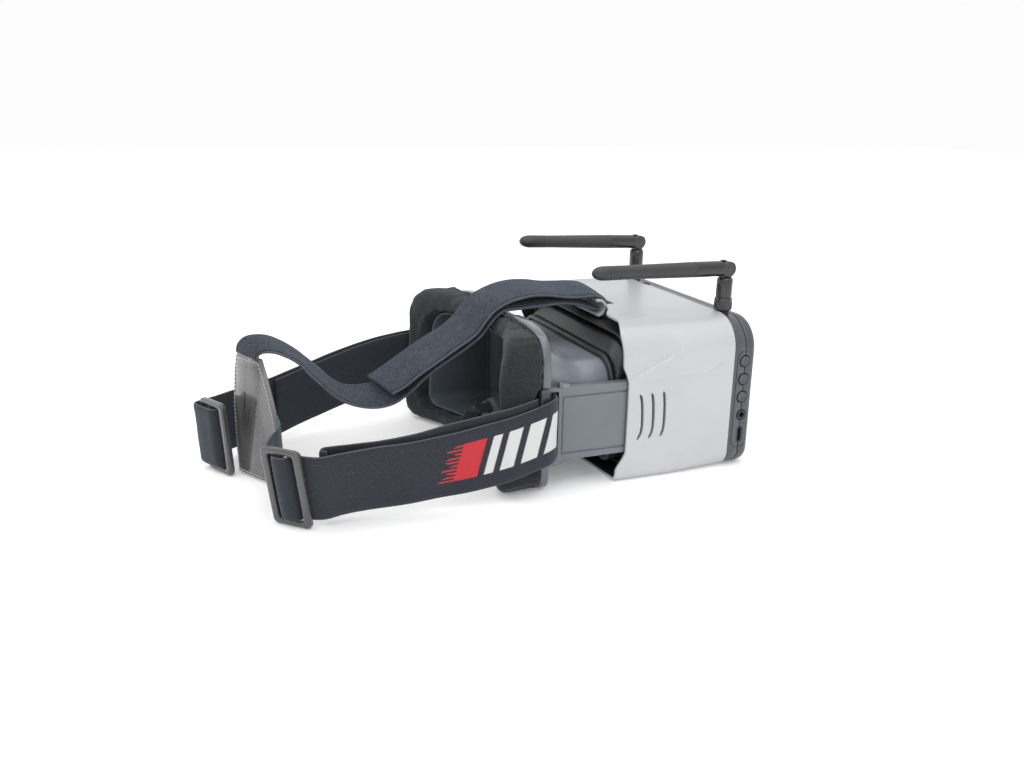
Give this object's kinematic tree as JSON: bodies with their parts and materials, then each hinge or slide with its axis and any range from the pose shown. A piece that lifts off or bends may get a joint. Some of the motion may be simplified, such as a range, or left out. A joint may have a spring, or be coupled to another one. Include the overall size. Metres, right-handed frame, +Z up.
{
  "type": "fpv goggles",
  "caption": "Box video goggles with a sliding face frame, telescoping light shroud, elastic headband with back pad, and folding stick antennas.",
  "frame": {"origin": "middle of the flat floor of the outer shell, on the surface the goggles stand on", "axes": "+Z up, -Y the way the wearer looks (screen side), +Y towards the face and headband, +X the wearer's left"},
  "size_m": [0.1636, 0.2932, 0.114],
  "materials": {
    "shell_silver": "satin light silver",
    "black_plastic": "fine matte texture",
    "clear_lens": "clear, concentric rings",
    "screw_steel": "bright",
    "shroud_rubber": "satin",
    "frame_plastic": "semi gloss",
    "face_foam": "knit mesh over foam",
    "arm_plastic": "satin",
    "glide_plastic": "satin",
    "elastic": "woven elastic",
    "pad_leather": "polished, stitched border",
    "strap_velvet": "brushed loop pile",
    "display_plastic": "satin",
    "screen_glass": "gloss",
    "board": "solder mask",
    "cell_wrap": "shrink wrap",
    "brass": "machined"
  },
  "bodies": {
    "shell": {"outer_shell": "shell_silver", "guide_rail_right": "black_plastic", "guide_rail_left": "black_plastic", "lens_housing": "black_plastic", "fresnel_lens": "clear_lens", "lens_retainer": "black_plastic", "lens_screw_1": "screw_steel", "lens_screw_2": "screw_steel", "lens_screw_3": "screw_steel", "lens_screw_4": "screw_steel", "top_strap_loop": "strap_velvet"},
    "sleeve": {"shroud_sleeve": "shroud_rubber"},
    "carriage": {"face_frame": "frame_plastic", "face_foam": "face_foam", "foam_cup": "shroud_rubber", "eye_tunnel": "shroud_rubber", "arm_right": "arm_plastic", "arm_left": "arm_plastic", "arm_screw_right_1": "screw_steel", "arm_screw_right_2": "screw_steel", "arm_screw_left_1": "screw_steel", "arm_screw_left_2": "screw_steel", "side_band_right": "elastic", "band_return_right": "elastic", "side_band_left": "elastic", "band_return_left": "elastic", "tri_glide_right": "glide_plastic", "tri_glide_left": "glide_plastic", "back_pad": "pad_leather", "top_strap": "strap_velvet", "top_strap_overlap": "strap_velvet"},
    "display": {"display_front_cover": "display_plastic", "display_rear_cover": "display_plastic", "lcd_panel": "screen_glass", "lcd_gasket": "face_foam", "main_board": "board", "battery_pack": "cell_wrap", "receiver_can": "screw_steel", "switch_strip": "black_plastic", "av_jack": "black_plastic", "usb_port": "screw_steel", "cover_screw_1": "screw_steel", "cover_screw_2": "screw_steel", "cover_screw_3": "screw_steel", "cover_screw_4": "screw_steel", "antenna_socket_right": "brass", "antenna_socket_left": "brass"},
    "antenna_right_base": {"antenna_base_right": "black_plastic", "antenna_pin_right": "screw_steel"},
    "antenna_right_whip": {"antenna_rod_right": "black_plastic"},
    "antenna_left_base": {"antenna_base_left": "black_plastic", "antenna_pin_left": "screw_steel"},
    "antenna_left_whip": {"antenna_rod_left": "black_plastic"},
    "up_button": {"button_up": "display_plastic"},
    "menu_button": {"button_menu": "display_plastic"},
    "down_button": {"button_down": "display_plastic"}
  },
  "joints": [
    {"name": "frame_slide", "type": "slide", "parent": "shell", "child": "carriage", "axis": [0, -1, 0], "range_m": [0, 0.03], "deforming": ["top_strap_loop"]},
    {"name": "sleeve_slide", "type": "slide", "parent": "shell", "child": "sleeve", "axis": [0, -1, 0], "range_m": [0, 0.015]},
    {"name": "screen_module_slide", "type": "slide", "parent": "shell", "child": "display", "axis": [0, -1, 0], "range_m": [0, 0.04]},
    {"name": "antenna_right_swivel", "type": "hinge", "parent": "display", "child": "antenna_right_base", "pos_m": [-0.0509, -0.039, 0.09], "axis": [0, 0, 1], "range_deg": [-30, 180]},
    {"name": "antenna_right_fold", "type": "hinge", "parent": "antenna_right_base", "child": "antenna_right_whip", "pos_m": [-0.0509, -0.039, 0.1095], "axis": [1, 0, 0], "range_deg": [0, 90]},
    {"name": "antenna_left_swivel", "type": "hinge", "parent": "display", "child": "antenna_left_base", "pos_m": [0.0509, -0.039, 0.09], "axis": [0, 0, 1], "range_deg": [-180, 30]},
    {"name": "antenna_left_fold", "type": "hinge", "parent": "antenna_left_base", "child": "antenna_left_whip", "pos_m": [0.0509, -0.039, 0.1095], "axis": [1, 0, 0], "range_deg": [0, 90]},
    {"name": "up_press", "type": "slide", "parent": "display", "child": "up_button", "axis": [1, 0, 0], "range_m": [0, 0.0008], "stiffness_N_per_m": 500},
    {"name": "menu_press", "type": "slide", "parent": "display", "child": "menu_button", "axis": [1, 0, 0], "range_m": [0, 0.0008], "stiffness_N_per_m": 500},
    {"name": "down_press", "type": "slide", "parent": "display", "child": "down_button", "axis": [1, 0, 0], "range_m": [0, 0.0008], "stiffness_N_per_m": 500}
  ],
  "couplings": [
    {"joint": "sleeve_slide", "follows": "frame_slide", "ratio": 0.5}
  ]
}
